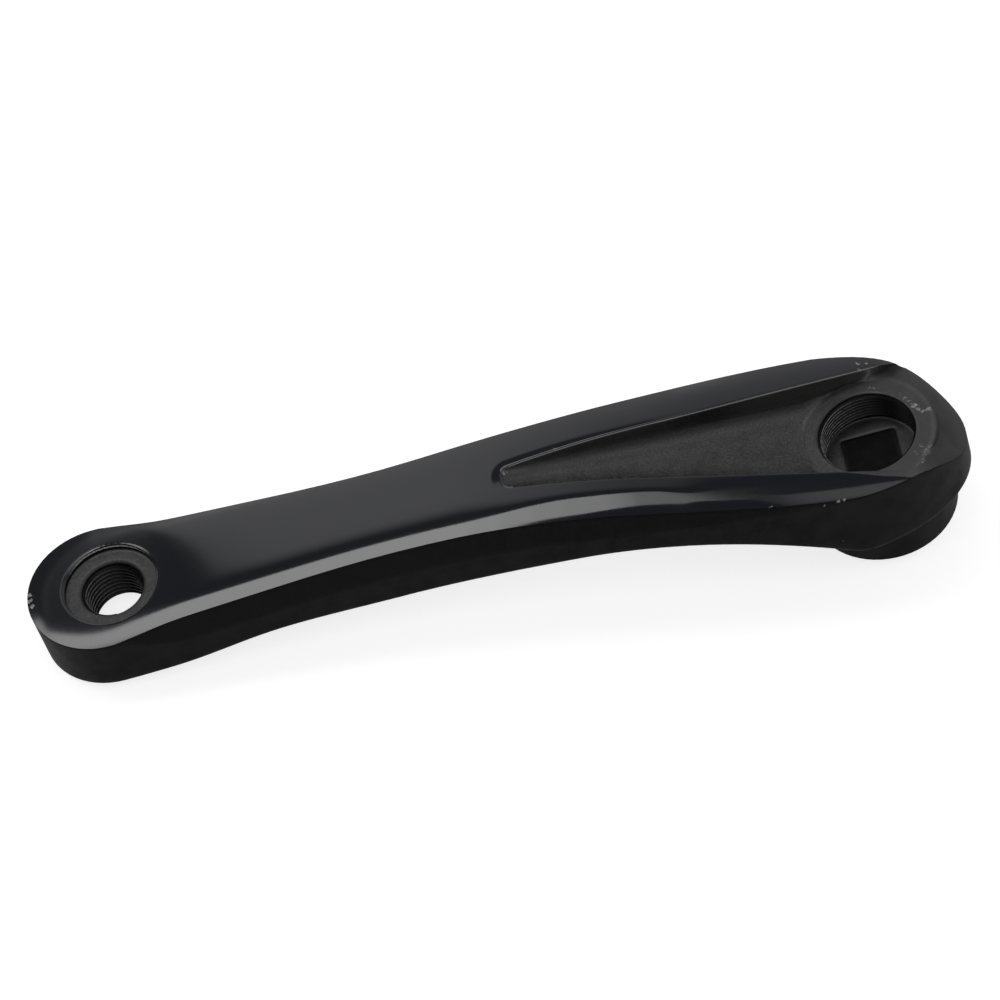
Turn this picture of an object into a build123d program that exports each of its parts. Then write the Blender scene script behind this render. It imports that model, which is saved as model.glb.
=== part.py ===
"""Left crank arm of a bicycle: an aluminium forging with a square taper, an extractor thread and a pedal eye.

The spindle axis is Z, and the inner face of the boss lies at Z = 0. The arm reaches along -X to the pedal
axis, with its outer face up. All sizes are in millimetres.
"""
import os
from math import acos, degrees, radians, sin, tan

from build123d import *

os.makedirs("parts", exist_ok=True)

# Axes and heights
crank_length = 170.0  # spindle axis to pedal axis
rim_height = 26.0  # mouth of the extractor bore above the boss face
pedal_rise = 15.5  # washer seat of the pedal above the extractor mouth

# Plan outline at the widest line of the forging
eye_radius = 16.6  # round end at the pedal
eye_overhang = 2.4  # centre of that round end beyond the pedal axis
waist_half_width = 13.9
waist_from_pedal = 60.0
hub_half_width = 20.6
hub_set_back = 10.0  # widest place of the hub, from the spindle axis towards the pedal
hub_reach = 21.4  # end of the arm beyond the spindle axis

# Outer face in side view: level from the eye, bent down towards the hub, rolled over at the end
face_above_seat = 1.2  # face's edge above the washer seat
bend_from_spindle = 95.0
bend_run = 43.0  # length over which the bend is made
rib_above_rim = 2.9  # face's edge above the extractor mouth, at the spindle axis
roll_from_spindle = 6.2  # where the roll starts, beyond the spindle axis
roll_run = 5.5
roll_slope = 0.65  # slope that the roll adds

# Outer face in section: a low crown between two edges that stand inside the widest line
crown = 0.8  # rise of the face's middle above its edges
hub_crown = 1.6
crown_fullness = 3.2  # power of the crown's curve: more is flatter in the middle
crown_shoulder = 0.6  # place on the half-width that the curve is led through
face_inset = 2.9
face_margin = 0.8  # how far the face runs out past the outline at both ends
inset_before_eye = 8.0  # the inset grows from here, before the centre of the round end
inset_after_eye = 19.0  # to here, after it
inset_fade_from_spindle = 75.0
flank_angle = 21.0  # draft from the face's edge down to the widest line

# Back in side view: level under the eye, hollowed at the neck, level again, then one long bend to the hub
eye_thickness = 12.8  # washer seat to the back of the eye
eye_back_reach = 9.0  # level back of the eye, from the pedal axis towards the spindle
neck_from_pedal = 30.0  # deepest place of the neck's hollow
neck_rise = 1.4  # of that place above the level back
neck_end_from_pedal = 62.0  # where the back is level again
hub_back = 9.8  # underside of the hub above the boss face
back_bend_from_spindle = 68.0
back_bend_radius = 107.0
back_hollow_radius = 12.0  # where the bend meets the underside of the hub
back_edge_radius = 1.2

# Boss on the inner side
boss_radius = 16.8
boss_chamfer = 0.6

# Recess in the outer face
recess_reach = 80.0  # tip of the recess from the spindle axis
recess_tip_half_width = 2.6
recess_tip_corner = 1.8
recess_half_angle = 8.3
recess_tip_depth = 0.9
recess_end = 12.5  # where the ramp comes down to the extractor mouth, from the spindle axis
recess_fillet = 1.5  # along the foot of its walls
recess_lip = 0.4  # bevel where its walls meet the face

# Spindle bore
ring_radius = 15.8  # flat ring around the extractor mouth
ring_skirt_radius = 18.4  # foot of the ring's hollow flank
ring_skirt_drop = 6.0
ring_flank_radius = 8.0
spot_radius = 14.0  # spot face in the floor of the recess
extractor_radius = 11.0
extractor_depth = 9.0
extractor_chamfer = 0.55
taper_across_flats = 12.6  # at the bolt seat
taper_angle = 2.0  # of each flat
taper_corner = 0.8

# Pedal bore
seat_radius = 10.7
seat_lip = 0.8  # rounding where the seat's wall meets the face
thread_radius = 7.14
pedal_front_chamfer = 0.45
pedal_back_chamfer = 1.3

# Modelling values: how far cuts run past the stock, sections along the face and along the
# bevel of the recess, and points along each side
run_out = 8.0
station_count = 36
lip_count = 14
side_count = 8
same_radius = 0.01  # how close a radius is to count as the same
facing_down = -0.5  # a face looks down where the Z of its normal is below this

# Places worked out from the sizes above
seat_height = rim_height + pedal_rise
eye_back = seat_height - eye_thickness
face_height = seat_height + face_above_seat
eye_x = -crank_length - eye_overhang
eye_end = eye_x - eye_radius
waist_x = -crank_length + waist_from_pedal
hub_x = -hub_set_back
face_start = eye_end - run_out
face_end = hub_reach + run_out
top_of_stock = face_height + run_out
side_of_stock = hub_half_width + run_out
bolt_seat = rim_height - extractor_depth


def blend(start, end, x):
    """Smooth step from 0 at start to 1 at end."""
    t = min(max((x - start) / (end - start), 0.0), 1.0)
    return t * t * (3.0 - 2.0 * t)


def fall(start, run, slope, x):
    """Drop of a line that bends from level to a slope over a run, and then goes on straight."""
    bent = min(max(x - start, 0.0), run)
    straight = max(x - start - run, 0.0)
    return slope * (bent * bent / (2.0 * run) + straight)


def half_width(x):
    """Half-width of the forging at its widest line."""
    to_waist = (waist_half_width - eye_radius) * blend(eye_x, waist_x, x)
    to_hub = (hub_half_width - waist_half_width) * blend(waist_x, hub_x, x)
    return eye_radius + to_waist + to_hub


def face_half_width(x):
    """Half-width of the outer face, which is inset along the arm and runs out at both ends."""
    grown = blend(eye_x - inset_before_eye, eye_x + inset_after_eye, x)
    faded = blend(-inset_fade_from_spindle, face_end, x)
    return half_width(x) + face_margin - face_inset * grown * (1.0 - faded)


def edge_height(x):
    """Height of the outer face's edges along the arm."""
    drop_at_spindle = face_height - rim_height - rib_above_rim
    bend_slope = drop_at_spindle / (bend_from_spindle - bend_run / 2.0)
    bend = fall(-bend_from_spindle, bend_run, bend_slope, x)
    roll = fall(roll_from_spindle, roll_run, roll_slope, x)
    return face_height - bend - roll


def crown_height(x):
    """Rise of the outer face's middle above its edges."""
    return crown + (hub_crown - crown) * blend(-bend_from_spindle, bend_run - bend_from_spindle, x)


def is_round(edge, radius):
    """Whether an edge is a full circle of this radius."""
    return edge.geom_type == GeomType.CIRCLE and edge.is_closed and abs(edge.radius - radius) < same_radius


def recess_half_width(x):
    """Half-width of the recess in plan, past its tip's round corners."""
    return recess_tip_half_width + (x + recess_reach) * tan(radians(recess_half_angle))


# Outer side of the forging: crowned face and drafted flanks, lofted along the arm
with BuildPart() as outer_side:
    pitch = (face_end - face_start) / (station_count - 1)
    for index in range(station_count):
        x = face_start + pitch * index
        w = face_half_width(x)
        z = edge_height(x)
        c = crown_height(x)
        edge_slope = crown_fullness * c / w
        shoulder = crown_shoulder * w
        shoulder_height = z + c * (1.0 - crown_shoulder**crown_fullness)
        foot = w + z * tan(radians(flank_angle))
        with BuildSketch(Plane.YZ.offset(x)):
            with BuildLine():
                Spline(
                    (-w, z),
                    (-shoulder, shoulder_height),
                    (0.0, z + c),
                    (shoulder, shoulder_height),
                    (w, z),
                    tangents=((1.0, edge_slope), (1.0, -edge_slope)),
                )
                Polyline((w, z), (foot, 0.0), (-foot, 0.0), (-w, z))
            make_face()
    loft()

# Recess: a V in plan over a ramp that comes down to the extractor mouth
with BuildPart() as recess:
    tip_x = -recess_reach
    tip_floor = edge_height(tip_x) + crown_height(tip_x) - recess_tip_depth
    ramp_slope = (tip_floor - rim_height) / (recess_reach - recess_end)
    open_half_width = recess_half_width(face_end)
    with BuildSketch(Plane.XY.offset(rim_height)):
        with BuildLine():
            Polyline(
                (tip_x, -recess_tip_half_width),
                (face_end, -open_half_width),
                (face_end, open_half_width),
                (tip_x, recess_tip_half_width),
                close=True,
            )
        make_face()
    extrude(amount=top_of_stock - rim_height)
    fillet(edges().filter_by(Axis.Z).group_by(Axis.X)[0], recess_tip_corner)
    with BuildSketch(Plane.XZ):
        with BuildLine():
            Polyline(
                (tip_x - run_out, tip_floor + run_out * ramp_slope),
                (-recess_end, rim_height),
                (face_end, rim_height),
                (face_end, top_of_stock),
                (tip_x - run_out, top_of_stock),
                close=True,
            )
        make_face()
    extrude(amount=side_of_stock, both=True, mode=Mode.INTERSECT)
    floor_faces = faces().filter_by(lambda face: face.normal_at().Z < facing_down)
    fillet(floor_faces.edges().filter_by(Axis.Y, reverse=True), recess_fillet)

# Bevel of the recess: lofted along its two edges, at the height of the crowned face
with BuildPart() as recess_bevel:
    bevel_start = -recess_reach + recess_tip_corner * (1.0 + sin(radians(recess_half_angle)))
    pitch = (roll_from_spindle - bevel_start) / (lip_count - 1)
    for index in range(lip_count):
        x = bevel_start + pitch * index
        v = recess_half_width(x)
        z = edge_height(x) + crown_height(x) * (1.0 - (v / face_half_width(x)) ** crown_fullness)
        above = v + 2.0 * recess_lip
        with BuildSketch(Plane.YZ.offset(x)):
            with BuildLine():
                Polyline(
                    (-v, z - recess_lip),
                    (v, z - recess_lip),
                    (above, z + recess_lip),
                    (-above, z + recess_lip),
                    close=True,
                )
            make_face()
    loft()

with BuildPart() as crank_arm:
    # Stock with the plan outline of the forging
    with BuildSketch():
        with BuildLine():
            eye_round = CenterArc((eye_x, 0.0), eye_radius, 90.0, 180.0)
            side_places = [eye_x + (hub_x - eye_x) * step / side_count for step in range(1, side_count)]
            Spline(
                eye_round @ 1,
                *[(x, -half_width(x)) for x in side_places],
                (hub_x, -hub_half_width),
                tangents=((1.0, 0.0), (1.0, 0.0)),
            )
            EllipticalCenterArc((hub_x, 0.0), hub_reach - hub_x, hub_half_width, -90.0, arc_size=180.0)
            Spline(
                (hub_x, hub_half_width),
                *[(x, half_width(x)) for x in reversed(side_places)],
                eye_round @ 0,
                tangents=((-1.0, 0.0), (-1.0, 0.0)),
            )
        make_face()
    extrude(amount=top_of_stock)

    # Back: level, hollowed at the neck, bent down by one long arc, hollowed into the underside of the hub
    back_turn = acos(1.0 - (eye_back - hub_back) / (back_bend_radius + back_hollow_radius))
    back_end = (back_bend_radius + back_hollow_radius) * sin(back_turn) - back_bend_from_spindle
    with BuildSketch(Plane.XZ):
        with BuildLine():
            bend_centre = (-back_bend_from_spindle, eye_back - back_bend_radius)
            bend = CenterArc(bend_centre, back_bend_radius, 90.0, -degrees(back_turn))
            hollow_centre = (back_end, hub_back + back_hollow_radius)
            hollow_start = 270.0 - degrees(back_turn)
            hollow = CenterArc(hollow_centre, back_hollow_radius, hollow_start, degrees(back_turn))
            neck = Spline(
                (eye_back_reach - crank_length, eye_back),
                (neck_from_pedal - crank_length, eye_back + neck_rise),
                (neck_end_from_pedal - crank_length, eye_back),
                tangents=((1.0, 0.0), (1.0, 0.0)),
            )
            Line(neck @ 1, bend @ 0)
            Polyline(
                hollow @ 1,
                (face_end, hub_back),
                (face_end, top_of_stock),
                (face_start, top_of_stock),
                (face_start, eye_back),
                neck @ 0,
            )
        make_face()
    extrude(amount=side_of_stock, both=True, mode=Mode.INTERSECT)
    back_faces = faces().filter_by(lambda face: face.normal_at().Z < facing_down)
    fillet(back_faces.edges().filter_by(Axis.Y, reverse=True), back_edge_radius)

    # Outer side with its crown and flanks
    add(outer_side.part, mode=Mode.INTERSECT)

    # Ring round the extractor mouth, with a hollow flank towards the end of the arm
    with BuildSketch(Plane.XZ):
        with BuildLine():
            skirt_height = rim_height - ring_skirt_drop
            flank = RadiusArc((ring_skirt_radius, skirt_height), (ring_radius, rim_height), ring_flank_radius)
            Polyline(
                flank @ 1,
                (0.0, rim_height),
                (0.0, skirt_height),
                flank @ 0,
            )
        make_face()
    revolve(axis=Axis.Z)

    # Recess with its bevel, and the spot face round the extractor mouth
    add(recess.part, mode=Mode.SUBTRACT)
    add(recess_bevel.part, mode=Mode.SUBTRACT)
    with BuildSketch(Plane.XY.offset(rim_height)):
        Circle(spot_radius)
    extrude(amount=top_of_stock - rim_height, mode=Mode.SUBTRACT)

    # Boss on the inner side
    with BuildSketch():
        Circle(boss_radius)
    extrude(amount=bolt_seat)

    # Spindle bore: extractor thread, bolt seat and square taper
    with BuildSketch(Plane.XY.offset(rim_height)):
        Circle(extractor_radius)
    extrude(amount=-extractor_depth, mode=Mode.SUBTRACT)
    with BuildSketch(Plane.XY.offset(bolt_seat)):
        RectangleRounded(taper_across_flats, taper_across_flats, taper_corner)
    extrude(amount=-bolt_seat, taper=-taper_angle, mode=Mode.SUBTRACT)
    chamfer(edges().group_by(Axis.Z)[0], boss_chamfer)
    extractor_rims = edges().filter_by(lambda edge: is_round(edge, extractor_radius))
    chamfer(extractor_rims.sort_by(Axis.Z)[-1], extractor_chamfer)

    # Pedal bore: washer seat with a rounded lip, and the thread
    with BuildSketch(Plane.XY.offset(seat_height)):
        with Locations((-crank_length, 0.0)):
            Circle(seat_radius)
    extrude(amount=top_of_stock - seat_height, mode=Mode.SUBTRACT)
    fillet(edges(Select.NEW), seat_lip)
    with BuildSketch(Plane.XY.offset(seat_height)):
        with Locations((-crank_length, 0.0)):
            Circle(thread_radius)
    extrude(amount=-eye_thickness, mode=Mode.SUBTRACT)
    pedal_rims = edges().filter_by(lambda edge: is_round(edge, thread_radius)).sort_by(Axis.Z)
    chamfer(pedal_rims[-1], pedal_front_chamfer)
    chamfer(pedal_rims[0], pedal_back_chamfer)

crank_arm.part.label = "crank_arm"
export_step(crank_arm.part, "parts/crank_arm.step")
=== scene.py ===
"""Dresses the left crank arm of a bicycle in its black finishes, threads and wear, with some painted light
and shade, in a pale studio.
"""
import logging
import math
from dataclasses import dataclass
from enum import Enum
from typing import Any, Optional, Union

import bpy
from mathutils import Matrix, Vector


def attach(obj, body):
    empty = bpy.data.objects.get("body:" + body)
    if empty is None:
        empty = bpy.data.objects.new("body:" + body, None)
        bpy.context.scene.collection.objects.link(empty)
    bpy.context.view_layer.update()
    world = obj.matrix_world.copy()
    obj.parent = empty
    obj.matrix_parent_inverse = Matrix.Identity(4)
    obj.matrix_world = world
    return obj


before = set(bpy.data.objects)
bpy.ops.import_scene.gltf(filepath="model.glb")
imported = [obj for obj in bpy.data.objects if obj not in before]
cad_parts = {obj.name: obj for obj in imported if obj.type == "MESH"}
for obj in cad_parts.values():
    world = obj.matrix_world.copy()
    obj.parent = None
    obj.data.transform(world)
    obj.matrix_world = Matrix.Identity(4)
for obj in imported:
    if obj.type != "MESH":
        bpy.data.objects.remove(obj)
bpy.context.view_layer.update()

logging.basicConfig(level=logging.INFO, format="%(name)s: %(message)s")
log = logging.getLogger("crank_arm")

Colour = tuple[float, float, float]
Point = tuple[float, float, float]
Inputs = dict[Union[str, int], Any]

MM = 0.001
MM_PER_METRE = 1000.0
NEAR_ZERO = 0.001
ORIGIN: Point = (0.0, 0.0, 0.0)
WHITE: Colour = (1.0, 1.0, 1.0)


@dataclass(frozen=True)
class Span:
    """A stretch over which a value fades in: 0 at its start, 1 at its end, in either direction."""

    start: float
    end: float

    def shifted(self, by: float) -> "Span":
        """The same stretch, moved."""
        return Span(self.start + by, self.end + by)


# Spans across the arm, whose near side faces the camera at negative y, and one of the normal's z.
NEAR_SIDE = Span(1.0, -1.0)
NEAR_HALF = Span(0.0, -1.0)
FAR_SIDE = Span(-1.0, 1.0)
FAR_HALF = Span(0.0, 1.0)
NOT_INWARDS = Span(-0.3, -0.1)


@dataclass(frozen=True)
class Noise:
    """Size and depth of a noise: lumps in a millimetre, finer layers and the weight of those layers."""

    scale: float
    detail: float = 2.0
    roughness: float = 0.5


class Socket:
    """A shader socket that Python's operators work on; each operation adds a Math node."""

    def __init__(self, tree: "Shader", output: bpy.types.NodeSocket) -> None:
        """Keeps the tree that new nodes go to and the output that this value comes from."""
        self.tree = tree
        self.output = output

    def maths(self, operation: str, *others: "Number", first: Optional["Number"] = None) -> "Socket":
        """Adds one Math node; first is an operand before this value, for the reflected operators."""
        operands = (self, *others) if first is None else (first, self, *others)
        return self.tree.node("ShaderNodeMath", {"operation": operation}, dict(enumerate(operands))).out()

    def __add__(self, other: "Number") -> "Socket":
        """This value plus another."""
        return self.maths("ADD", other)

    def __radd__(self, other: "Number") -> "Socket":
        """Another value plus this one."""
        return self.maths("ADD", first=other)

    def __sub__(self, other: "Number") -> "Socket":
        """This value less another."""
        return self.maths("SUBTRACT", other)

    def __rsub__(self, other: "Number") -> "Socket":
        """Another value less this one."""
        return self.maths("SUBTRACT", first=other)

    def __mul__(self, other: "Number") -> "Socket":
        """This value times another."""
        return self.maths("MULTIPLY", other)

    def __rmul__(self, other: "Number") -> "Socket":
        """Another value times this one."""
        return self.maths("MULTIPLY", first=other)

    def __truediv__(self, other: "Number") -> "Socket":
        """This value divided by another."""
        return self.maths("DIVIDE", other)

    def __pow__(self, other: "Number") -> "Socket":
        """This value to a power."""
        return self.maths("POWER", other)

    def __neg__(self) -> "Socket":
        """This value with the other sign."""
        return self.maths("MULTIPLY", -1.0)

    def __abs__(self) -> "Socket":
        """Size of this value, without its sign."""
        return self.maths("ABSOLUTE")

    def least(self, other: "Number") -> "Socket":
        """The smaller of two values."""
        return self.maths("MINIMUM", other)

    def most(self, other: "Number") -> "Socket":
        """The larger of two values."""
        return self.maths("MAXIMUM", other)

    def diagonal(self, other: "Socket") -> "Socket":
        """Length of the diagonal across this value and another at right angles to it."""
        return (self * self + other * other).maths("SQRT")

    def rise(self, low: "Number", high: "Number") -> "Socket":
        """Smooth step, from 0 at low to 1 at high, which is below low for a step down."""
        limits = {"Value": self, "From Min": low, "From Max": high}
        return self.tree.node("ShaderNodeMapRange", {"interpolation_type": "SMOOTHSTEP"}, limits).out()

    def over(self, span: Span) -> "Socket":
        """Smooth step over a span."""
        return self.rise(span.start, span.end)

    def bell(self, width: "Number", power: "Number" = 2.0) -> "Socket":
        """Bell curve, 1 where this value is 0 and a third at the width; a higher power flattens its top."""
        return (-((self / width) ** power)).maths("EXPONENT")


Number = Union[Socket, float, int]


class Node:
    """A shader node whose outputs come out wrapped."""

    def __init__(self, tree: "Shader", node: bpy.types.Node) -> None:
        """Keeps the node and the tree that it stands in."""
        self.tree = tree
        self.node = node

    def out(self, name: Union[str, int] = 0) -> Socket:
        """One output of the node, by name or by place."""
        return Socket(self.tree, self.node.outputs[name])


class Shader:
    """Node tree of a material or of the world."""

    def __init__(self, tree: bpy.types.NodeTree) -> None:
        """Empties the tree."""
        self.tree = tree
        self.tree.nodes.clear()

    def node(self, kind: str, settings: Optional[dict[str, Any]] = None,
             sockets: Optional[Inputs] = None) -> Node:
        """Adds a node.

        Args:
            kind: the node's type.
            settings: its properties, set first.
            sockets: values or links of its inputs, by name or by place.

        Returns:
            The new node.
        """
        made = self.tree.nodes.new(kind)
        for name, value in (settings or {}).items():
            setattr(made, name, value)
        for name, value in (sockets or {}).items():
            if isinstance(value, Socket):
                self.tree.links.new(value.output, made.inputs[name])
            else:
                made.inputs[name].default_value = value
        return Node(self, made)

    def vector(self, operation: str, *operands: Union[Socket, Point]) -> Node:
        """Adds one Vector Math node, with its operands in order."""
        return self.node("ShaderNodeVectorMath", {"operation": operation}, dict(enumerate(operands)))

    def split(self, vector: Socket) -> tuple[Socket, Socket, Socket]:
        """The three parts of a vector."""
        parts = self.node("ShaderNodeSeparateXYZ", sockets={0: vector})
        return parts.out(0), parts.out(1), parts.out(2)

    def noise(self, place: Socket, noise: Noise) -> Node:
        """Adds a noise over coordinates in millimetres; it gives a value from 0 to 1, and a colour."""
        depth = {"Scale": noise.scale, "Detail": noise.detail, "Roughness": noise.roughness}
        return self.node("ShaderNodeTexNoise", {}, {"Vector": place, **depth})

    def blend(self, factor: Number, first: Union[Socket, Colour], second: Union[Socket, Colour]) -> Socket:
        """Mixes two colours.

        Args:
            factor: 0 for the first, 1 for the second.
            first: a colour.
            second: another colour.

        Returns:
            The mixed colour.
        """
        colours = [colour if isinstance(colour, Socket) else (*colour, 1.0) for colour in (first, second)]
        sockets = {0: factor, 6: colours[0], 7: colours[1]}
        return self.node("ShaderNodeMix", {"data_type": "RGBA"}, sockets).out(2)

    def unit(self, vector: Socket) -> Socket:
        """A vector at unit length."""
        return self.vector("NORMALIZE", vector).out()

    def direction(self, x: Number, y: Number, z: Number) -> Socket:
        """Turns a direction of the object into one of the world.

        Args:
            x: its part along the arm.
            y: its part across the arm.
            z: its part along the spindle.

        Returns:
            The direction at unit length in world space.
        """
        vector = self.node("ShaderNodeCombineXYZ", {}, {0: x, 1: y, 2: z}).out()
        spaces = {"vector_type": "NORMAL", "convert_from": "OBJECT", "convert_to": "WORLD"}
        return self.unit(self.node("ShaderNodeVectorTransform", spaces, {0: vector}).out())

    def between(self, factor: Number, first: Socket, second: Socket) -> Socket:
        """A direction between two others, where the factor 0 gives the first."""
        sockets = {0: factor, 4: first, 5: second}
        return self.unit(self.node("ShaderNodeMix", {"data_type": "VECTOR"}, sockets).out(1))

    def bump(self, height: Socket, strength: float, depth: float, normal: Optional[Socket] = None) -> Socket:
        """Roughens a normal.

        Args:
            height: the relief, from 0 to 1.
            strength: how much of the relief shows.
            depth: the relief's full depth in millimetres.
            normal: the normal underneath, if not the surface's own.

        Returns:
            The roughened normal.
        """
        sockets: Inputs = {"Strength": strength, "Distance": depth * MM, "Height": height}
        if normal:
            sockets["Normal"] = normal
        return self.node("ShaderNodeBump", {}, sockets).out()

    def layer(self, factor: Socket, under: Socket, upper: Socket) -> Socket:
        """One surface over another, where the factor 1 shows the upper one alone."""
        return self.node("ShaderNodeMixShader", {}, {0: factor, 1: under, 2: upper}).out()

    def end(self, surface: Socket) -> None:
        """Makes a surface the material's result."""
        self.node("ShaderNodeOutputMaterial", {}, {"Surface": surface})


@dataclass(frozen=True)
class Finish:
    """One finish of the metal: its plain colour, least roughness, the unevenness on top, and its shine."""

    colour: Colour
    roughness: float
    unevenness: float
    specular: float

    def uneven(self, noise: Socket) -> Socket:
        """Roughness that varies with a noise."""
        return self.roughness + self.unevenness * noise

    def shader(self, tree: Shader, roughness: Socket, colour: Optional[Socket] = None,
               normal: Optional[Socket] = None) -> Socket:
        """Adds the surface shader of this finish.

        Args:
            tree: the material's node tree.
            roughness: roughness that varies.
            colour: colour that varies, where it does.
            normal: normal, if not the surface's own.

        Returns:
            The shader.
        """
        sockets: Inputs = {
            "Base Color": colour or (*self.colour, 1.0),
            "Roughness": roughness,
            "Specular IOR Level": self.specular,
        }
        if normal:
            sockets["Normal"] = normal
        return tree.node("ShaderNodeBsdfPrincipled", {}, sockets).out()


POLISHED_BLACK = Finish((0.005, 0.006, 0.010), roughness=0.05, unevenness=0.03, specular=0.9)
FORGED_BLACK = Finish((0.0088, 0.0088, 0.0092), roughness=0.55, unevenness=0.12, specular=0.06)
BLASTED_BLACK = Finish((0.014, 0.0138, 0.0135), roughness=0.37, unevenness=0.12, specular=0.6)
CUT_BLACK = Finish((0.004, 0.004, 0.004), roughness=0.28, unevenness=0.15, specular=0.12)
BARE_METAL = Finish((0.36, 0.35, 0.34), roughness=0.4, unevenness=0.2, specular=0.5)


@dataclass(frozen=True)
class Place:
    """A point of a surface: its coordinates in millimetres and how far the surface faces outwards there."""

    tree: Shader
    vector: Socket
    x: Socket
    y: Socket
    z: Socket
    up: Socket

    @classmethod
    def of(cls, tree: Shader) -> "Place":
        """Reads the point from the Object coordinates.

        Args:
            tree: the material's node tree.

        Returns:
            The point.
        """
        coordinates = tree.node("ShaderNodeTexCoord")
        vector = tree.vector("MULTIPLY", coordinates.out("Object"), (MM_PER_METRE,) * 3).out()
        return cls(tree, vector, *tree.split(vector), tree.split(coordinates.out("Normal"))[2])

    def noise(self, noise: Noise) -> Socket:
        """A noise at this point, from 0 to 1."""
        return self.tree.noise(self.vector, noise).out()

    def from_spindle(self) -> Socket:
        """Distance from the spindle's axis."""
        return self.x.diagonal(self.y)


def clear_selection() -> None:
    """Leaves nothing selected, so that an operator acts on the new piece alone."""
    bpy.ops.object.select_all(action="DESELECT")


def new_material(name: str) -> tuple[bpy.types.Material, Shader]:
    """Makes an empty material.

    Args:
        name: its name.

    Returns:
        The material and its node tree.
    """
    material = bpy.data.materials.new(name)
    material.use_nodes = True
    return material, Shader(material.node_tree)


@dataclass(frozen=True)
class Recess:
    """Outline of the wedge-shaped recess, in millimetres and degrees."""

    reach: float = 80.0
    tip_half_width: float = 2.6
    tip_corner: float = 1.6
    half_angle: float = 8.3
    end: float = -12.5
    ramp_slope: float = 0.242

    def half_width(self, x: Socket) -> Socket:
        """Half-width of the recess at a place along the arm."""
        return self.tip_half_width + (x + self.reach) * math.tan(math.radians(self.half_angle))

    def outside(self, at: Place) -> Socket:
        """Distance from the recess's edge.

        Args:
            at: the point.

        Returns:
            The distance, positive on the face and negative in the recess.
        """
        beside = abs(at.y) - self.half_width(at.x) + self.tip_corner
        ahead = self.tip_corner - (at.x + self.reach)
        round_corner = beside.most(0.0).diagonal(ahead.most(0.0))
        return beside.most(ahead).least(0.0) + round_corner - self.tip_corner


@dataclass(frozen=True)
class Forging:
    """Main places of the solid, in millimetres: eye, waist, hub, bend, flanks and the end of the polish."""

    crank_length: float = 170.0
    eye_x: float = -172.4
    eye_radius: float = 16.6
    waist_x: float = -110.0
    waist_half_width: float = 13.9
    hub_x: float = -10.0
    hub_half_width: float = 20.6
    hub_reach: float = 21.4
    mouth_radius: float = 11.0
    mouth_edge: Span = Span(0.02, 0.15)
    ring_radius: float = 15.8
    rim_height: float = 26.0
    seat_radius: float = 10.7
    seat_height: float = 41.5
    bend_start: float = -95.0
    bend_run: float = 43.0
    bend_slope: float = 0.18776
    flank_draft: float = 2.9
    flank_start: Span = Span(-8.0, 19.0)
    flank_end: Span = Span(-75.0, 29.4)
    edge_overhang: float = 0.8
    polish_end: float = 7.0
    recess: Recess = Recess()

    def face_edge(self, x: Socket) -> Socket:
        """Half-width of the polished face along the arm.

        Args:
            x: place along the arm.

        Returns:
            The half-width.
        """
        to_waist = (self.waist_half_width - self.eye_radius) * x.rise(self.eye_x, self.waist_x)
        to_hub = (self.hub_half_width - self.waist_half_width) * x.rise(self.waist_x, self.hub_x)
        outline = self.eye_radius + to_waist + to_hub
        drafted = x.over(self.flank_start.shifted(self.eye_x)) * (1.0 - x.over(self.flank_end))
        return outline.least(outline + self.edge_overhang - self.flank_draft * drafted)

    def bend(self, x: Socket) -> Socket:
        """Slope of the face where the arm bends down towards the hub."""
        return self.bend_slope * ((x - self.bend_start) / self.bend_run).most(0.0).least(1.0)

    def beyond_mouth(self, away: Socket) -> Socket:
        """Mask of what lies outside the mouth of the extractor bore."""
        return away.over(self.mouth_edge.shifted(self.mouth_radius))

    def above_rim(self, z: Socket, span: Span) -> Socket:
        """Smooth step over heights that are given from the rim of the mouth."""
        return z.over(span.shifted(self.rim_height))


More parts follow.
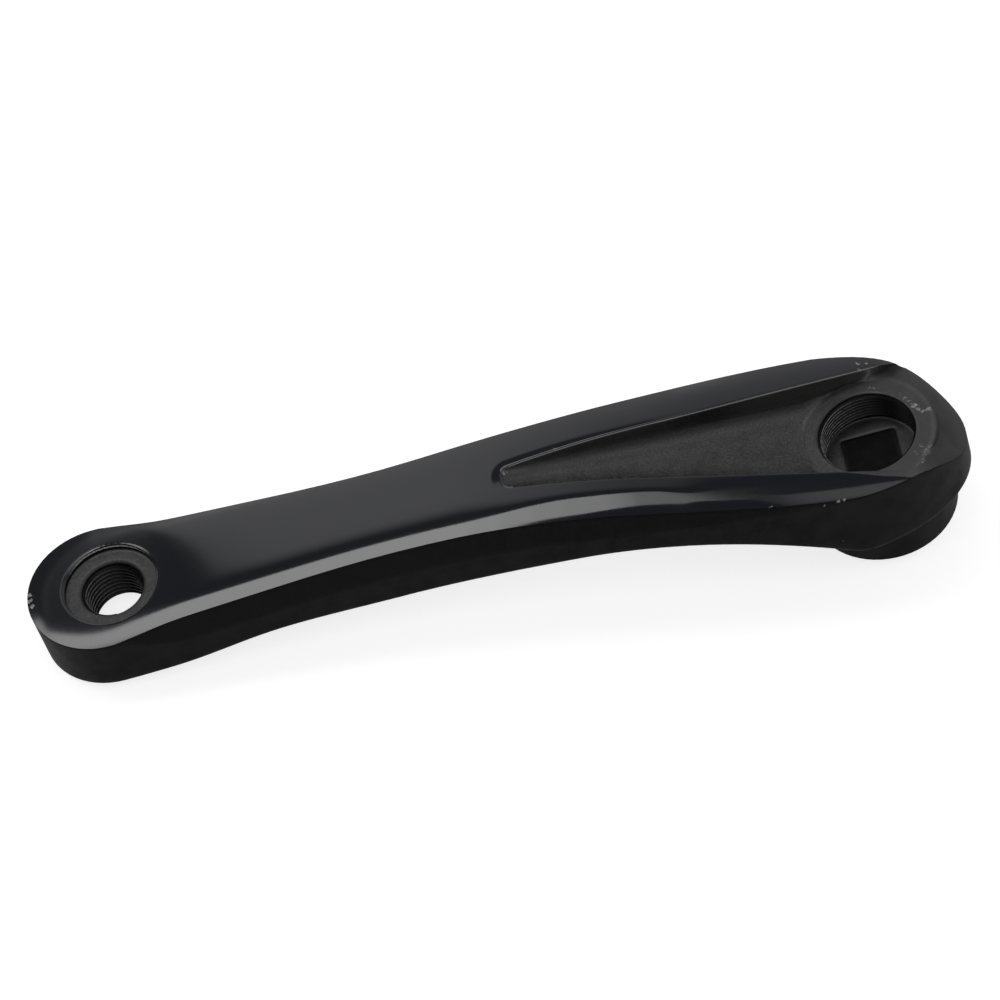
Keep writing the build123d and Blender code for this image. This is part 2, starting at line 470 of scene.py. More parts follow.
@dataclass(frozen=True)
class BuffedFace:
    """The polished outer face: where it lies, and how buffing has rolled its edges, in millimetres."""

    forging: Forging
    facing: Span = Span(0.5, 0.62)
    border: Span = Span(-0.1, 0.1)
    wander: Noise = Noise(0.35)
    wander_swing: float = 0.5
    wander_start: Span = Span(-14.0, 0.0)
    rib_end: float = -14.0
    rib_taper: float = 2.0
    end_blur: float = 0.4
    far_end_blur: float = 2.4
    below_seat_lip: Span = Span(0.9, 0.6)
    in_seat: Span = Span(0.25, 0.05)
    seat_wall: Span = Span(0.6, 0.3)
    seat_wall_foot: Span = Span(0.9, 1.0)
    crown: float = 0.006
    shoulder_crown: float = 0.003
    roll_slope: float = 0.165
    roll_reach: float = 3.5
    roll_power: float = 1.6
    shoulder_start: Span = Span(-92.0, -64.0)
    shoulder_end: Span = Span(-34.0, -50.0)
    shoulder_reach: float = 5.8
    shoulder_power: float = 3.9
    hub_roll: Span = Span(-33.0, -20.0)
    hub_roll_reach: float = 0.8
    rib_slope: float = 0.31
    rib_first_share: float = 0.35
    rib_first_step: Span = Span(-66.0, -50.0)
    rib_second_step: Span = Span(-43.0, -35.0)
    rib_fade: Span = Span(-20.0, -33.0)
    rim_slope: float = 0.14
    rim_reach: float = 1.6
    rim_start: Span = Span(-95.0, -50.0)
    rim_end: Span = Span(-40.0, -50.0)
    lip_slope: float = 0.8
    lip_reach: float = 0.36
    tip: Span = Span(0.4, -0.4)
    halo_tilt: float = 0.07
    halo_reach: Span = Span(2.9, 1.8)
    halo_loss: float = 0.9
    halo_narrows: Span = Span(-75.0, -40.0)
    halo_end: Span = Span(-36.0, -48.0)
    halo_side: Span = Span(-2.5, 0.5)
    seat_lip_slope: float = 0.9
    seat_lip_reach: float = 0.4
    seat_lip_foot: Span = Span(1.5, 1.7)
    dish_x: float = -163.0
    dish_y: float = -4.0
    dish_slope: float = 0.022
    dish_radius: float = 18.5
    dish_blur: float = 4.0
    dish_tail_blur: float = 12.0
    dish_tail: Span = Span(-162.0, -150.0)
    lines: Noise = Noise(1.8, 3.0, 0.6)
    line_stretch: Point = (0.03, 1.0, 1.0)
    cloud: Noise = Noise(0.06, 3.0)
    cloud_haze: float = 0.02
    eye_haze: float = 0.07
    eye_haze_start: Span = Span(-150.0, -176.0)

    def mask(self, at: Place) -> Socket:
        """Mask of the polished face.

        Args:
            at: the point.

        Returns:
            1 on the polished face and 0 on the matte surfaces.
        """
        forging = self.forging
        wander = at.noise(self.wander) * self.wander_swing - self.wander_swing / 2.0
        taper = self.rib_taper * at.x.rise(self.rib_end, forging.polish_end) * at.y.over(NEAR_SIDE)
        strayed = forging.recess.outside(at) - taper + wander * at.x.over(self.wander_start)
        blur = self.end_blur + self.far_end_blur * at.y.over(FAR_SIDE)
        hub_end = (at.x + wander).rise(forging.polish_end - blur, forging.polish_end + self.end_blur)
        away = (at.x + forging.crank_length).diagonal(at.y)
        low = at.z.over(self.below_seat_lip.shifted(forging.seat_height))
        in_seat = away.over(self.in_seat.shifted(forging.seat_radius)) * low
        wall_top = at.z.over(self.seat_wall_foot.shifted(forging.seat_height))
        seat_wall = away.over(self.seat_wall.shifted(forging.seat_radius)) * wall_top
        face = at.up.over(self.facing).most(seat_wall)
        return face * strayed.over(self.border) * (1.0 - hub_end) * (1.0 - in_seat)

    def edge_roll(self, at: Place, inside: Socket, shoulder: Socket) -> Socket:
        """Slope of the rolled edge, which is wider at the shoulder and steeper along the rib.

        Args:
            at: the point.
            inside: its distance from the edge of the face.
            shoulder: 1 along the arm's shoulder.

        Returns:
            The slope towards the edge.
        """
        x, y = at.x, at.y
        reach = self.roll_reach + (self.shoulder_reach - self.roll_reach) * shoulder
        reach = reach + self.hub_roll_reach * x.over(self.hub_roll)
        first_step = self.rib_first_share * x.over(self.rib_first_step)
        second_step = (1.0 - self.rib_first_share) * x.over(self.rib_second_step)
        rib = (first_step + second_step) * x.over(self.rib_fade)
        slope = self.roll_slope + (self.rib_slope - self.roll_slope) * rib
        power = self.roll_power + self.shoulder_power * (shoulder * y.over(NEAR_SIDE))
        rim = self.rim_slope * inside.bell(self.rim_reach) * y.over(NEAR_HALF)
        return slope * inside.bell(reach, power) + rim * x.over(self.rim_start) * x.over(self.rim_end)

    def halo(self, at: Place, outside: Socket) -> Socket:
        """Mask of the dark border beside the far edge of the recess, by the distance from it."""
        strayed = outside + self.halo_loss * at.x.over(self.halo_narrows)
        return strayed.over(self.halo_reach) * at.x.over(self.halo_end) * at.y.over(self.halo_side)

    def dish(self, at: Place) -> Socket:
        """Slope of the shallow dish beside the pedal's seat, with a long soft end along the arm.

        Args:
            at: the point.

        Returns:
            The slope along the arm.
        """
        away = (at.x - self.dish_x).diagonal(at.y - self.dish_y)
        full = self.dish_radius - self.dish_blur - self.dish_tail_blur * at.x.over(self.dish_tail)
        return self.dish_slope * away.rise(self.dish_radius, full)

    def normal(self, at: Place) -> Socket:
        """Normal of the face: flat in the middle, rolled over along its edges and at the lip of the recess.

        Args:
            at: the point.

        Returns:
            The normal in world space.
        """
        forging, x, y = self.forging, at.x, at.y
        side = y.maths("SIGN")
        from_eye = x - forging.eye_x
        radius = from_eye.diagonal(y).most(NEAR_ZERO)
        round_end = x.maths("LESS_THAN", forging.eye_x)
        along = forging.face_edge(x) - abs(y)
        inside = (along + (forging.eye_radius - radius - along) * round_end).most(0.0)
        shoulder = x.over(self.shoulder_start) * x.over(self.shoulder_end)
        roll = self.edge_roll(at, inside, shoulder)
        roll_x = roll * round_end * from_eye / radius
        roll_y = roll * (side + (y / radius - side) * round_end)

        outside = forging.recess.outside(at).most(0.0)
        lip = self.lip_slope * outside.bell(self.lip_reach)
        ahead = x.over(self.tip.shifted(-forging.recess.reach))
        from_pedal = x + forging.crank_length
        away = from_pedal.diagonal(y).most(NEAR_ZERO)
        seat_lip = self.seat_lip_slope * (away - forging.seat_radius).most(0.0).bell(self.seat_lip_reach)
        seat_lip = seat_lip * at.z.over(self.seat_lip_foot.shifted(forging.seat_height))

        crown = (self.crown - self.shoulder_crown * (shoulder * y.over(NEAR_SIDE))) * y
        shaded = (self.halo_tilt + crown + roll_y) * self.halo(at, outside)
        tilt_x = forging.bend(x) + roll_x + lip * ahead - seat_lip * from_pedal / away - self.dish(at)
        tilt_y = crown + roll_y - lip * side * (1.0 - ahead) - shaded - seat_lip * y / away
        return at.tree.direction(tilt_x, tilt_y, 1.0)

    def shader(self, at: Place) -> Socket:
        """Adds the glossy black, with the lines of the buffing wheel and a haze around the eye.

        Args:
            at: the point.

        Returns:
            The shader.
        """
        tree = at.tree
        drawn_out = tree.node("ShaderNodeMapping", {}, {0: at.vector, 3: self.line_stretch}).out()
        roughness = POLISHED_BLACK.uneven(tree.noise(drawn_out, self.lines).out())
        roughness = roughness + self.cloud_haze * at.noise(self.cloud)
        roughness = roughness + self.eye_haze * at.x.over(self.eye_haze_start)
        return POLISHED_BLACK.shader(tree, roughness, normal=self.normal(at))


@dataclass(frozen=True)
class BlastedSurface:
    """The blasted recess and the dished end of the hub. Lengths in millimetres, heights from the rim."""

    forging: Forging
    border: Span = Span(-0.4, -0.2)
    above_floor: Span = Span(-0.8, -0.4)
    open_end: Span = Span(1.0, -2.0)
    wall_curve: float = 0.9
    wall_reach: float = 4.0
    floor_curve: float = 0.3
    ramp_end: Span = Span(3.0, -4.0)
    floor_facing: Span = Span(0.45, 0.6)
    floor_border: Span = Span(0.0, 0.4)
    floor_height: Span = Span(-0.4, -0.1)
    low_wall: float = 0.7
    low_wall_end: Span = Span(-28.0, -46.0)
    low_wall_border: Span = Span(0.4, 0.2)
    dish_slope: float = 0.4
    dish_edge: Span = Span(14.6, 16.4)
    rim_slope: float = 0.2
    rim_edge: Span = Span(17.0, 21.0)
    towards_end: Span = Span(0.2, 0.8)
    ring: Span = Span(0.1, -2.5)
    ring_bottom: Span = Span(-0.4, -0.15)
    ring_top: Span = Span(0.3, 0.1)
    end_start: Span = Span(0.0, 7.0)
    end_bottom: Span = Span(-12.0, -10.5)
    end_facing: Span = Span(0.25, 0.5)
    end_inner: Span = Span(0.98, 0.94)
    speck_share: float = 0.75
    speck_range: Span = Span(0.35, 0.7)
    hub_start: Span = Span(-8.0, 6.0)
    hub_speck_loss: float = 0.6
    hub_smooth: float = 0.7
    speck_colour: Colour = (0.068, 0.067, 0.0652)
    smooth_dark: Colour = (0.032, 0.032, 0.034)
    smooth_light: Colour = (0.046, 0.046, 0.049)
    shadow_colour: Colour = (0.004, 0.004, 0.004)
    foot_shadow: float = 0.65
    foot_start: float = -0.2
    foot_reach: float = 4.0
    foot_gain: float = 1.0
    foot_widens: Span = Span(-24.0, -8.0)
    foot_end: Span = Span(-3.0, -15.0)
    wall_shadow: float = 0.9
    wall_start: Span = Span(-48.0, -22.0)
    wall_end: Span = Span(4.0, -4.0)
    wall_facing: Span = Span(0.8, 0.5)
    pit_strength: float = 0.35
    pit_depth: float = 0.08

    def recessed(self, at: Place) -> Socket:
        """Mask of the recess, with its floor and its walls.

        Args:
            at: the point.

        Returns:
            1 in the recess.
        """
        inside = (-self.forging.recess.outside(at)).over(self.border)
        closed = at.x.over(self.open_end.shifted(self.forging.polish_end))
        return inside * self.forging.above_rim(at.z, self.above_floor) * closed * at.up.over(NOT_INWARDS)

    def hub_end(self, at: Place) -> Socket:
        """Mask of the hub's dished end, from the mouth of the bore out to the edge of the forging.

        Args:
            at: the point.

        Returns:
            1 on the top of the hub's end.
        """
        forging = self.forging
        along = (at.x - forging.hub_x) / (forging.hub_reach - forging.hub_x)
        across = at.y / forging.hub_half_width
        inner = (along * along + across * across).over(self.end_inner)
        high = forging.above_rim(at.z, self.end_bottom)
        bored = forging.beyond_mouth(at.from_spindle())
        return at.x.over(self.end_start) * high * bored * at.up.over(self.end_facing).most(inner)

    def floor(self, at: Place) -> Socket:
        """Mask of the floor of the recess, and of the foot of its far wall near the tip.

        Args:
            at: the point.

        Returns:
            1 on the floor.
        """
        recess = self.forging.recess
        outside = recess.outside(at)
        ends = at.x.rise(self.forging.polish_end, recess.end)
        floor = at.up.over(self.floor_facing) * (-outside).most(0.0).over(self.floor_border) * ends
        low_wall = self.low_wall * at.x.over(self.low_wall_end) * at.y.over(FAR_HALF)
        low_wall = low_wall * at.up.over(NOT_INWARDS) * outside.over(self.low_wall_border)
        return floor.most(low_wall) * self.forging.above_rim(at.z, self.floor_height)

    def normal(self, at: Place, soft: Socket) -> Socket:
        """Normal of the floor, which curves up to both walls, and of the hub's end, which falls to its rim.

        Args:
            at: the point.
            soft: normal with the edges rounded, for the other surfaces.

        Returns:
            The normal in world space.
        """
        forging, tree, x, y = self.forging, at.tree, at.x, at.y
        half = forging.recess.half_width(x)
        far_wall = (half - y).most(0.0).bell(self.wall_reach, 1.0)
        near_wall = (half + y).most(0.0).bell(self.wall_reach, 1.0)
        curve = self.wall_curve * (far_wall - near_wall) + self.floor_curve * y / half
        ramp = forging.recess.ramp_slope * x.over(self.ramp_end.shifted(forging.recess.end))
        hollow = tree.between(self.floor(at), soft, tree.direction(ramp, -curve, 1.0))

        away = at.from_spindle().most(NEAR_ZERO)
        fall = self.dish_slope * away.over(self.dish_edge) + self.rim_slope * away.over(self.rim_edge)
        fall = fall * (x / away).over(self.towards_end)
        rounded = tree.direction(fall * x / away, fall * y / away, 1.0)
        ring = away.over(self.ring.shifted(forging.ring_radius))
        ring = ring * forging.above_rim(at.z, self.ring_bottom) * forging.above_rim(at.z, self.ring_top)
        return tree.between(self.hub_end(at).most(ring * forging.beyond_mouth(away)), hollow, rounded)

    def colour(self, at: Place, grain: Socket, mottle: Socket) -> Socket:
        """Colour of the blasted black: specked in the recess, smooth on the hub, with a painted shadow at the
        foot of the far wall and on the recess walls near the hub.

        Args:
            at: the point.
            grain: noise of the blasting.
            mottle: noise of the wear.

        Returns:
            The colour.
        """
        tree, x = at.tree, at.x
        on_hub = x.over(self.hub_start)
        speck = grain.over(self.speck_range) * (1.0 - self.hub_speck_loss * on_hub)
        specked = speck * self.speck_share + mottle * (1.0 - self.speck_share)
        grey = tree.blend(specked, BLASTED_BLACK.colour, self.speck_colour)
        smooth = tree.blend(mottle, self.smooth_dark, self.smooth_light)
        plain = tree.blend(on_hub * self.hub_smooth, grey, smooth)
        recessed = self.recessed(at)
        # Painted shadow: the foot of the far wall and the recess walls near the hub are darkened towards the
        # shadow colour.
        reach = self.foot_reach + self.foot_gain * x.over(self.foot_widens)
        foot = 1.0 - (-self.forging.recess.outside(at)).rise(self.foot_start, reach)
        foot = foot * x.over(self.foot_end) * at.y.over(FAR_SIDE)
        wall = at.up.over(self.wall_facing) * x.over(self.wall_end) * x.over(self.wall_start)
        shadow = (recessed * foot * self.foot_shadow).most(recessed * wall * self.wall_shadow)
        return tree.blend(shadow, plain, self.shadow_colour)

    def shader(self, at: Place, soft: Socket, grain: Socket, mottle: Socket) -> Socket:
        """Adds the blasted black.

        Args:
            at: the point.
            soft: normal with the edges rounded.
            grain: noise of the blasting.
            mottle: noise of the wear.

        Returns:
            The shader.
        """
        pits = at.tree.bump(grain, self.pit_strength, self.pit_depth, self.normal(at, soft))
        roughness = BLASTED_BLACK.uneven(mottle)
        return BLASTED_BLACK.shader(at.tree, roughness, self.colour(at, grain, mottle), pits)


@dataclass(frozen=True)
class ForgedSkin:
    """The matte black of the flanks and the back, with the fine orange peel of a forging."""

    skin: Noise = Noise(0.9, 4.0, 0.6)
    skin_range: Span = Span(0.3, 0.7)
    skin_share: float = 0.35
    skin_colour: Colour = (0.013, 0.013, 0.0135)
    peel_strength: float = 0.25
    peel_depth: float = 0.08
    shade_start: Span = Span(-115.0, -65.0)
    shade_end: Span = Span(-2.0, -28.0)
    painted_shade_colour: Colour = (0.0045, 0.0045, 0.0047)
    painted_light_start: Span = Span(-2.0, 18.0)
    painted_light_colour: Colour = (0.024, 0.024, 0.0245)

    def shader(self, at: Place, soft: Socket, mottle: Socket) -> Socket:
        """Adds the forged black, with painted shade under the shoulder and painted light on the hub's end.

        Args:
            at: the point.
            soft: normal with the edges rounded.
            mottle: noise of the wear.

        Returns:
            The shader.
        """
        tree, x = at.tree, at.x
        skin = at.noise(self.skin)
        # Painted shade and light: the flanks are darkened under the shoulder and lightened towards the hub's
        # end, standing for light that falls on the end from +x.
        shade_under_shoulder = x.over(self.shade_start) * x.over(self.shade_end)
        shaded_black = tree.blend(shade_under_shoulder, FORGED_BLACK.colour, self.painted_shade_colour)
        lit_and_shaded_tone = tree.blend(x.over(self.painted_light_start), shaded_black, self.painted_light_colour)
        colour = tree.blend(skin.over(self.skin_range) * self.skin_share, lit_and_shaded_tone, self.skin_colour)
        peel = tree.bump(skin, self.peel_strength, self.peel_depth, soft)
        return FORGED_BLACK.shader(tree, FORGED_BLACK.uneven(mottle), colour, peel)


@dataclass(frozen=True)
class Chip:
    """A place where the black is worn: centre and reach in millimetres, and how much of it has gone."""

    centre: Point
    reach: float
    loss: float = 1.0


CHIPS = (
    Chip((1.9, 16.9, 29.3), 0.8),
    Chip((3.9, 16.8, 29.0), 0.7),
    Chip((2.0, 14.8, 29.4), 0.9),
    Chip((3.1, 11.8, 26.0), 0.8, 0.85),
    Chip((4.2, 11.4, 26.0), 0.7, 0.85),
    Chip((9.4, 7.9, 26.0), 0.6, 0.8),
    Chip((10.2, 6.4, 26.0), 0.8, 0.9),
    Chip((11.1, 5.2, 26.0), 0.9, 0.9),
    Chip((11.6, 3.5, 26.0), 1.0, 0.95),
    Chip((12.3, 2.4, 26.0), 1.1),
    Chip((13.2, 1.5, 26.0), 1.1, 0.95),
    Chip((14.4, 1.7, 26.0), 1.1),
    Chip((9.3, -9.2, 26.0), 1.4, 0.8),
    Chip((10.7, -7.9, 26.0), 1.6, 0.8),
    Chip((11.4, -9.9, 26.0), 2.2, 0.82),
    Chip((10.1, -11.8, 26.0), 1.7, 0.8),
    Chip((12.6, -8.6, 26.0), 1.4, 0.8),
    Chip((8.8, -12.5, 26.0), 1.0, 0.8),
    Chip((-10.0, -20.5, 30.6), 0.9),
    Chip((-8.5, -20.5, 30.3), 0.7),
    Chip((-12.9, -20.6, 30.5), 0.5),
    Chip((-24.6, -19.4, 33.5), 0.45, 0.9),
    Chip((-11.2, -20.6, 16.6), 0.8, 0.85),
    Chip((-188.3, 2.5, 43.4), 1.0),
    Chip((-188.4, 0.8, 43.4), 1.2),
    Chip((-188.1, -0.9, 43.4), 0.9),
    Chip((-79.3, 1.8, 42.5), 1.1),
    Chip((-67.2, 5.0, 42.3), 0.7, 0.85),
)


@dataclass(frozen=True)
class WearAndLipHighlight:
    """Where the black has gone: chips and scuffs around the mouth, and a painted highlight along the far lip
    of the recess, drawn as bare metal.
    """

    forging: Forging
    chips: tuple[Chip, ...] = CHIPS
    stray: Noise = Noise(0.9, 4.0)
    stray_middle: Point = (0.5, 0.5, 0.5)
    stray_swing: Point = (2.4, 2.4, 0.6)
    ragged: Noise = Noise(1.6, 4.0, 0.75)
    ragged_share: float = 0.6
    fine: Noise = Noise(5.0, 2.0, 0.6)
    chip_fade: Span = Span(1.2, 0.3)
    chip_edge: Span = Span(0.36, 0.56)
    high: Span = Span(-1.0, -0.5)
    lip_offset: float = 0.15
    lip_width: float = 0.22
    lip_highlight_share: float = 0.4
    lip_start: Span = Span(-36.0, -20.0)
    lip_end: Span = Span(8.0, 3.0)
    mouth_offset: float = 0.3
    mouth_width: float = 0.2
    mouth_loss: float = 0.3
    mouth_start: Span = Span(-4.0, 5.0)
    ridge_radius: float = 16.0
    ridge_swing: float = 2.0
    ridge_width: float = 0.5
    ridge_loss: float = 0.22
    ridge_start: Span = Span(0.45, 0.8)
    scuff_range: Span = Span(0.35, 0.7)

    def chipped(self, at: Place) -> Socket:
        """How near the closest chip is, from a point led astray so that no chip is round.

        Args:
            at: the point.

        Returns:
            1 in the middle of a chip.
        """
        tree = at.tree
        wander = tree.noise(at.vector, self.stray).out("Color")
        shift = tree.vector("SUBTRACT", wander, self.stray_middle).out()
        astray = tree.vector("MULTIPLY_ADD", shift, self.stray_swing, at.vector).out()
        nearest: Optional[Socket] = None
        for chip in self.chips:
            away = tree.vector("DISTANCE", astray, chip.centre).out("Value")
            near = (away / chip.reach).over(self.chip_fade) * chip.loss
            nearest = near if nearest is None else nearest.most(near)
        return nearest

    def mask(self, at: Place) -> Socket:
        """How much of the black has gone, with the painted highlight along the far lip.

        Args:
            at: the point.

        Returns:
            1 on bare metal.
        """
        x, away = at.x, at.from_spindle()
        ragged = at.noise(self.ragged)
        fine = at.noise(self.fine)
        high = self.forging.above_rim(at.z, self.high)
        outside = self.forging.recess.outside(at)
        # Painted highlight: a thin line of bare metal along the far lip of the recess, where its rounded edge
        # catches the light.
        far_lip_line = (outside - self.lip_offset).bell(self.lip_width) * at.y.over(FAR_HALF)
        lip_highlight = self.lip_highlight_share * far_lip_line * fine * x.over(self.lip_start) * x.over(self.lip_end) * high
        mouth = (away - self.forging.mouth_radius - self.mouth_offset).bell(self.mouth_width)
        mouth = mouth * x.over(self.mouth_start)
        ridge = (away + self.ridge_swing * ragged - self.ridge_radius).bell(self.ridge_width)
        ridge = ridge * (x / away).over(self.ridge_start)
        scuffed = (self.mouth_loss * mouth + self.ridge_loss * ridge) * fine.over(self.scuff_range) * high
        broken = self.ragged_share * ragged + (1.0 - self.ragged_share) * fine
        return (self.chipped(at) * broken).over(self.chip_edge).most(lip_highlight).most(scuffed)


@dataclass(frozen=True)
class Arm:
    """The forging itself: the model's solid, with its finishes laid over each other."""

    forging: Forging = Forging()
    grain: Noise = Noise(2.3, 3.0, 0.65)
    mottle: Noise = Noise(0.22, 3.0, 0.6)
    mottle_range: Span = Span(0.3, 0.75)
    edge_radius: float = 1.3
    edge_samples: int = 8
    edge_start: Span = Span(8.0, 10.0)
    blasted_facing: Span = Span(0.3, 0.8)

    def rounded_edges(self, at: Place) -> Socket:
        """Normal that rounds the solid's edges, apart from those of the back and the boss.

        Args:
            at: the point.

        Returns:
            The normal in world space.
        """
        tree = at.tree
        size = {"Radius": self.edge_radius * MM}
        rounded = tree.node("ShaderNodeBevel", {"samples": self.edge_samples}, size).out()
        plain = tree.node("ShaderNodeNewGeometry").out("Normal")
        return tree.between(at.z.over(self.edge_start), plain, rounded)

    def material(self) -> bpy.types.Material:
        """Makes the material of the forging.

        Returns:
            The material.
        """
        material, tree = new_material("black_forging")
        at = Place.of(tree)
        grain = at.noise(self.grain)
        mottle = at.noise(self.mottle).over(self.mottle_range)
        soft = self.rounded_edges(at)
        face = BuffedFace(self.forging)
        hollow = BlastedSurface(self.forging)
        forged = ForgedSkin().shader(at, soft, mottle)
        blasted = hollow.shader(at, soft, grain, mottle)
        facing = at.up.over(self.blasted_facing).most(hollow.recessed(at)).most(hollow.hub_end(at))
        matte = tree.layer(facing, forged, blasted)
        black = tree.layer(face.mask(at), matte, face.shader(at))
        bare = BARE_METAL.shader(tree, BARE_METAL.uneven(grain))
        tree.end(tree.layer(WearAndLipHighlight(self.forging).mask(at), black, bare))
        return material

    def dress(self) -> None:
        """Gives the solid its material."""
        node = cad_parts["crank_arm"]
        node.data.materials.clear()
        node.data.materials.append(self.material())
        log.info("crank_arm dressed")


class Hand(Enum):
    """Hand of a thread."""

    RIGHT = 1
    LEFT = -1


@dataclass(frozen=True)
class Thread:
    """A cut thread inside a bore, as one helical ridge, in millimetres; foot and crest in pitches."""

    name: str
    centre: tuple[float, float]
    bore: float
    pitch: float
    depth: float
    top: float
    turns: int
    hand: Hand
    crest_wear_and_highlight_grey: float = 0.2
    steps: int = 72
    sunk: float = 0.12
    foot: float = 1.1
    crest_narrowing: float = 0.14
    smooth_angle: float = 30.0
    bright_from: float = 0.75
    lit_side_span: Span = Span(-0.4, 0.9)
    grain: Noise = Noise(1.5, 3.0, 0.6)
    grain_range: Span = Span(0.2, 0.6)
    score_strength: float = 0.2
    score_depth: float = 0.05

    def build(self) -> bpy.types.Object:
        """Winds the ridge from one section.

        Returns:
            The ridge.
        """
        clear_selection()
        bpy.ops.mesh.primitive_plane_add(size=1.0)
        ridge = bpy.context.object
        ridge.name = self.name
        bpy.ops.object.mode_set(mode="EDIT")
        bpy.ops.mesh.select_all(action="SELECT")
        bpy.ops.transform.rotate(value=math.pi / 2.0, orient_axis="X", center_override=ORIGIN)
        high = (self.depth + self.sunk) * MM
        bpy.ops.transform.resize(value=(high, 1.0, self.foot * self.pitch * MM), center_override=ORIGIN)
        middle = (self.bore + self.sunk) * MM - high / 2.0
        bpy.ops.transform.translate(value=(middle, 0.0, 0.0))
        bpy.ops.mesh.delete(type="ONLY_FACE")
        bpy.ops.object.mode_set(mode="OBJECT")
        for vertex in ridge.data.vertices:
            vertex.select = vertex.co.x < middle
        bpy.ops.object.mode_set(mode="EDIT")
        bpy.ops.transform.resize(value=(1.0, 1.0, self.crest_narrowing), center_override=(middle, 0.0, 0.0))
        bpy.ops.object.mode_set(mode="OBJECT")
        self.wind(ridge)
        self.close_ends(ridge)
        return ridge

    def wind(self, ridge: bpy.types.Object) -> None:
        """Winds the section into a helix.

        Args:
            ridge: the section, which becomes the ridge.
        """
        helix = ridge.modifiers.new("helix", "SCREW")
        helix.axis = "Z"
        helix.angle = 2.0 * math.pi
        helix.screw_offset = -self.pitch * MM * self.hand.value
        helix.iterations = self.turns
        helix.steps = self.steps
        helix.render_steps = self.steps
        bpy.ops.object.modifier_apply(modifier=helix.name)

    def close_ends(self, ridge: bpy.types.Object) -> None:
        """Closes both ends of the ridge, points its faces outwards and moves it into its bore.

        Args:
            ridge: the wound ridge.
        """
        bpy.ops.object.mode_set(mode="EDIT")
        bpy.ops.mesh.select_all(action="SELECT")
        bpy.ops.mesh.fill_holes(sides=4)
        bpy.ops.mesh.select_all(action="SELECT")
        bpy.ops.mesh.normals_make_consistent(inside=False)
        x, y = self.centre
        drop = 0.0 if self.hand is Hand.RIGHT else self.turns * self.pitch
        bpy.ops.transform.rotate(value=math.pi / 2.0, orient_axis="Z", center_override=ORIGIN)
        bpy.ops.transform.translate(value=(x * MM, y * MM, (self.top - drop) * MM))
        bpy.ops.object.mode_set(mode="OBJECT")
        bpy.ops.object.shade_smooth_by_angle(angle=math.radians(self.smooth_angle))
        heights = [(ridge.matrix_world @ Vector(corner)).z for corner in ridge.bound_box]
        log.info("%s from z %.4f to %.4f", self.name, min(heights), max(heights))

    def dress(self, ridge: bpy.types.Object) -> None:
        """Gives the ridge its cut and blackened finish, lighter on the crests from wear and a painted
        highlight, and hangs it on the arm.

        Args:
            ridge: the ridge.
        """
        material, tree = new_material(self.name + "_black")
        at = Place.of(tree)
        away = (at.x - self.centre[0]).diagonal(at.y - self.centre[1])
        crest = away.rise(self.bore - self.bright_from * self.depth, self.bore - self.depth)
        grain = at.noise(self.grain)
        # Painted highlight: the crests on the bore's -x side, whose wall faces +x, are painted lighter,
        # standing for light from +x; the rest of the crest grey is wear.
        lit_side = ((self.centre[0] - at.x) / self.bore).over(self.lit_side_span)
        crest_wear_and_highlight = crest * lit_side * grain.over(self.grain_range)
        colour = tree.blend(crest_wear_and_highlight, CUT_BLACK.colour, (self.crest_wear_and_highlight_grey,) * 3)
        scored = tree.bump(grain, self.score_strength, self.score_depth)
        tree.end(CUT_BLACK.shader(tree, CUT_BLACK.uneven(grain), colour, scored))
        ridge.data.materials.append(material)
        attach(ridge, "root")


EXTRACTOR_THREAD = Thread(
    "extractor_thread", centre=(0.0, 0.0), bore=11.0, pitch=1.0, depth=0.55, top=24.9, turns=7,
    hand=Hand.RIGHT, crest_wear_and_highlight_grey=0.38)
PEDAL_THREAD = Thread(
    "pedal_thread", centre=(-170.0, 0.0), bore=7.14, pitch=1.27, depth=0.7, top=40.3, turns=8,
    hand=Hand.LEFT)


@dataclass(frozen=True)
class Softbox:
    """A rectangular lamp that faces straight down, in metres: its length is along the arm."""

    name: str
    x: float
    length: float
    level: float
    y: float = 0.43
    width: float = 0.46
    height: float = 1.5

    def hang(self) -> None:
        """Hangs the lamp; a level of 1 shows as white."""
        clear_selection()
        bpy.ops.object.light_add(type="AREA", location=(self.x, self.y, self.height))
        lamp = bpy.context.object
        lamp.name = self.name
        lamp.data.shape = "RECTANGLE"
        lamp.data.size = self.length
        lamp.data.size_y = self.width
        lamp.data.energy = self.level * math.pi * self.length * self.width


# The row from the eye to the end gives the light band on the near edge; its steps fade the band out.
SOFTBOXES = (
    Softbox("eye_softbox", -1.35, 1.06, 2.2, y=0.58, width=0.76),
    Softbox("long_softbox", -0.485, 0.67, 3.0),
    Softbox("joining_softbox_1", -0.1, 0.1, 2.86),
    Softbox("joining_softbox_2", 0.0, 0.1, 2.64),
    Softbox("joining_softbox_3", 0.1, 0.1, 2.4),
    Softbox("rib_softbox", 0.22, 0.14, 2.2),
    Softbox("fading_softbox_1", 0.31, 0.04, 2.0),
    Softbox("fading_softbox_2", 0.35, 0.04, 1.7),
    Softbox("fading_softbox_3", 0.395, 0.05, 1.25),
    Softbox("end_softbox", 0.665, 0.4, 0.55, y=0.29, width=0.24),
    Softbox("front_softbox", 0.15, 1.9, 1.3, y=-0.8, width=0.8),
)


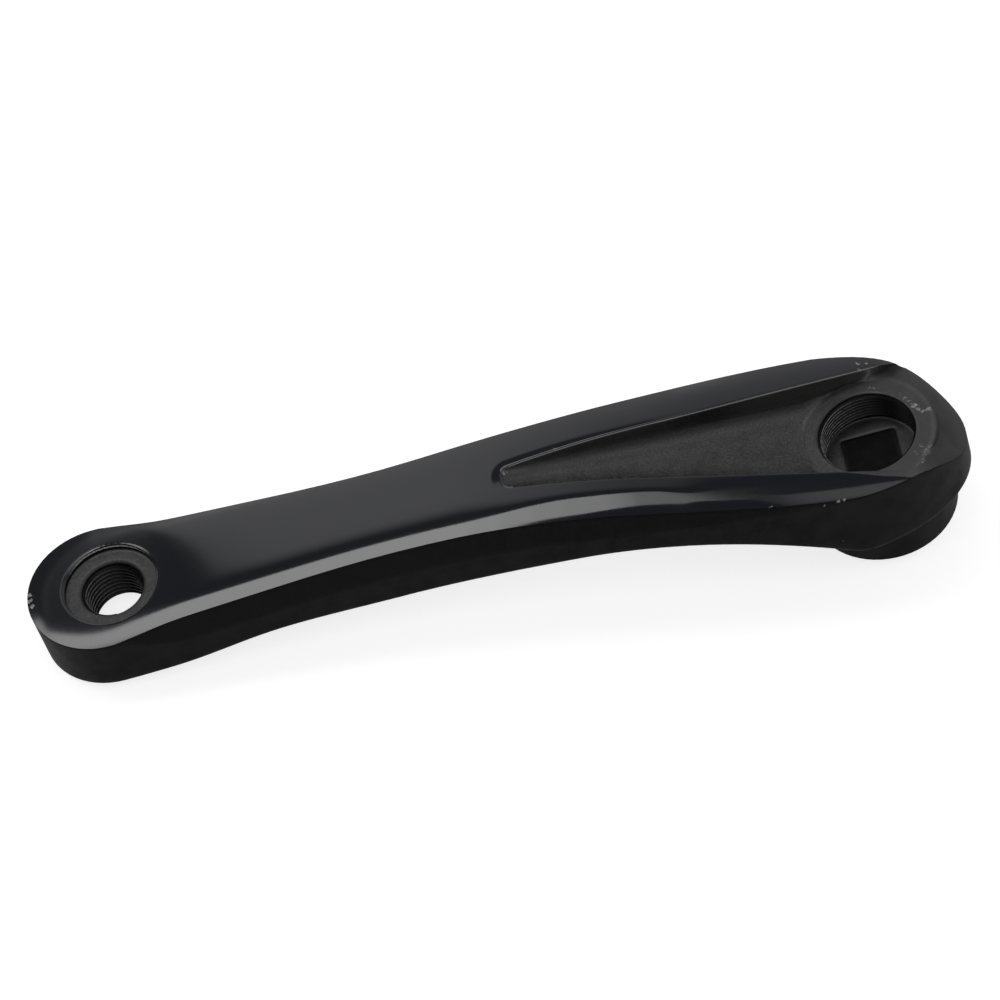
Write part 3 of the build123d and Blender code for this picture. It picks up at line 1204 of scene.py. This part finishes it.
@dataclass(frozen=True)
class Studio:
    """Floor, lamps, world and camera; angles in degrees, the camera's lengths in millimetres."""

    azimuth: float = 6.76219
    elevation: float = 50.92668
    roll: float = -20.25034
    aim: Point = (-82.1165, 1.105, 34.7413)
    distance: float = 1049.502
    lens: float = 170.5518
    sensor: float = 36.0
    nearest: float = 50.0
    floor_tilt: float = 9.7
    floor_height: float = -3.7
    floor_size: float = 6.0
    floor_colour: Colour = (0.5, 0.5, 0.5)
    floor_glow: float = 0.8
    wall_level: float = 0.72
    wall_foot: Span = Span(0.60, 0.74)
    wall_slant: float = 0.14
    wall_end: Span = Span(-0.0735, -0.0605)
    wall_shade: float = 0.72
    wall_shade_run: Span = Span(-0.165, 0.55)
    patch_share: float = 0.25
    patch_start: Span = Span(-0.38, -0.34)
    patch_end: Span = Span(-0.27, -0.31)
    ceiling_level: float = 0.1
    end_level: float = 0.4
    end_start: Span = Span(0.4, 0.9)
    horizon: float = 0.02
    softboxes: tuple[Softbox, ...] = SOFTBOXES

    def build_floor(self) -> None:
        """Lays the pale floor under the boss's edge and the back of the eye."""
        clear_selection()
        place = (0.0, 0.0, self.floor_height * MM)
        turn = (0.0, math.radians(self.floor_tilt), 0.0)
        bpy.ops.mesh.primitive_plane_add(size=self.floor_size, location=place, rotation=turn)
        floor = bpy.context.object
        floor.name = "floor"
        material, tree = new_material("pale_floor")
        path = tree.node("ShaderNodeLightPath")
        seen = path.out("Is Camera Ray").most(path.out("Is Glossy Ray")).most(path.out("Is Transmission Ray"))
        paint = tree.node("ShaderNodeBsdfDiffuse", {}, {"Color": (*self.floor_colour, 1.0)}).out()
        light = {"Color": (*WHITE, 1.0), "Strength": seen * self.floor_glow}
        glow = tree.node("ShaderNodeEmission", {}, light).out()
        tree.end(tree.node("ShaderNodeAddShader", {}, {0: paint, 1: glow}).out())
        floor.data.materials.append(material)
        log.info("floor laid")

    def light(self) -> None:
        """Hangs the softboxes and makes the world: a pale back wall with a slanted end near the pedal."""
        for softbox in self.softboxes:
            softbox.hang()
        world = bpy.context.scene.world or bpy.data.worlds.new("studio")
        bpy.context.scene.world = world
        world.use_nodes = True
        tree = Shader(world.node_tree)
        x, y, z = tree.split(tree.node("ShaderNodeTexCoord").out("Generated"))
        steep = z.most(self.horizon)
        high = (y / steep).over(self.wall_foot)
        wall = high * ((x + self.wall_slant * y) / steep).over(self.wall_end)
        shade = 1.0 - self.wall_shade * (x / y.most(self.horizon)).over(self.wall_shade_run)
        patch = high * (x / steep).over(self.patch_start) * (x / steep).over(self.patch_end)
        pale = wall * shade + self.patch_share * patch
        level = self.ceiling_level + (self.wall_level - self.ceiling_level) * pale
        level = level + self.end_level * x.over(self.end_start)
        sky = tree.node("ShaderNodeBackground", {}, {"Color": (*WHITE, 1.0), "Strength": level}).out()
        tree.node("ShaderNodeOutputWorld", {}, {"Surface": sky})

    def place_camera(self) -> None:
        """Sets the camera at the photograph's viewing angle."""
        azimuth = math.radians(self.azimuth)
        elevation = math.radians(self.elevation)
        roll = math.radians(self.roll)
        level = math.cos(elevation)
        back = Vector((math.sin(azimuth) * level, -math.cos(azimuth) * level, math.sin(elevation)))
        side = Vector((math.cos(azimuth), math.sin(azimuth), 0.0))
        above = back.cross(side)
        right = math.cos(roll) * side + math.sin(roll) * above
        up = math.cos(roll) * above - math.sin(roll) * side
        clear_selection()
        bpy.ops.object.camera_add()
        camera = bpy.context.object
        camera.name = "camera"
        axes = Matrix((right, up, back)).transposed().to_4x4()
        camera.matrix_world = Matrix.Translation((Vector(self.aim) + back * self.distance) * MM) @ axes
        camera.data.sensor_width = self.sensor
        camera.data.lens = self.lens
        camera.data.clip_start = self.nearest * MM
        bpy.context.scene.camera = camera

    def build(self) -> None:
        """Builds the whole studio."""
        self.build_floor()
        self.light()
        self.place_camera()
        bpy.context.scene.view_settings.view_transform = "Standard"


def main() -> None:
    """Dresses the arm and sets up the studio."""
    Arm().dress()
    for thread in (EXTRACTOR_THREAD, PEDAL_THREAD):
        thread.dress(thread.build())
    Studio().build()


if __name__ == "__main__":
    main()
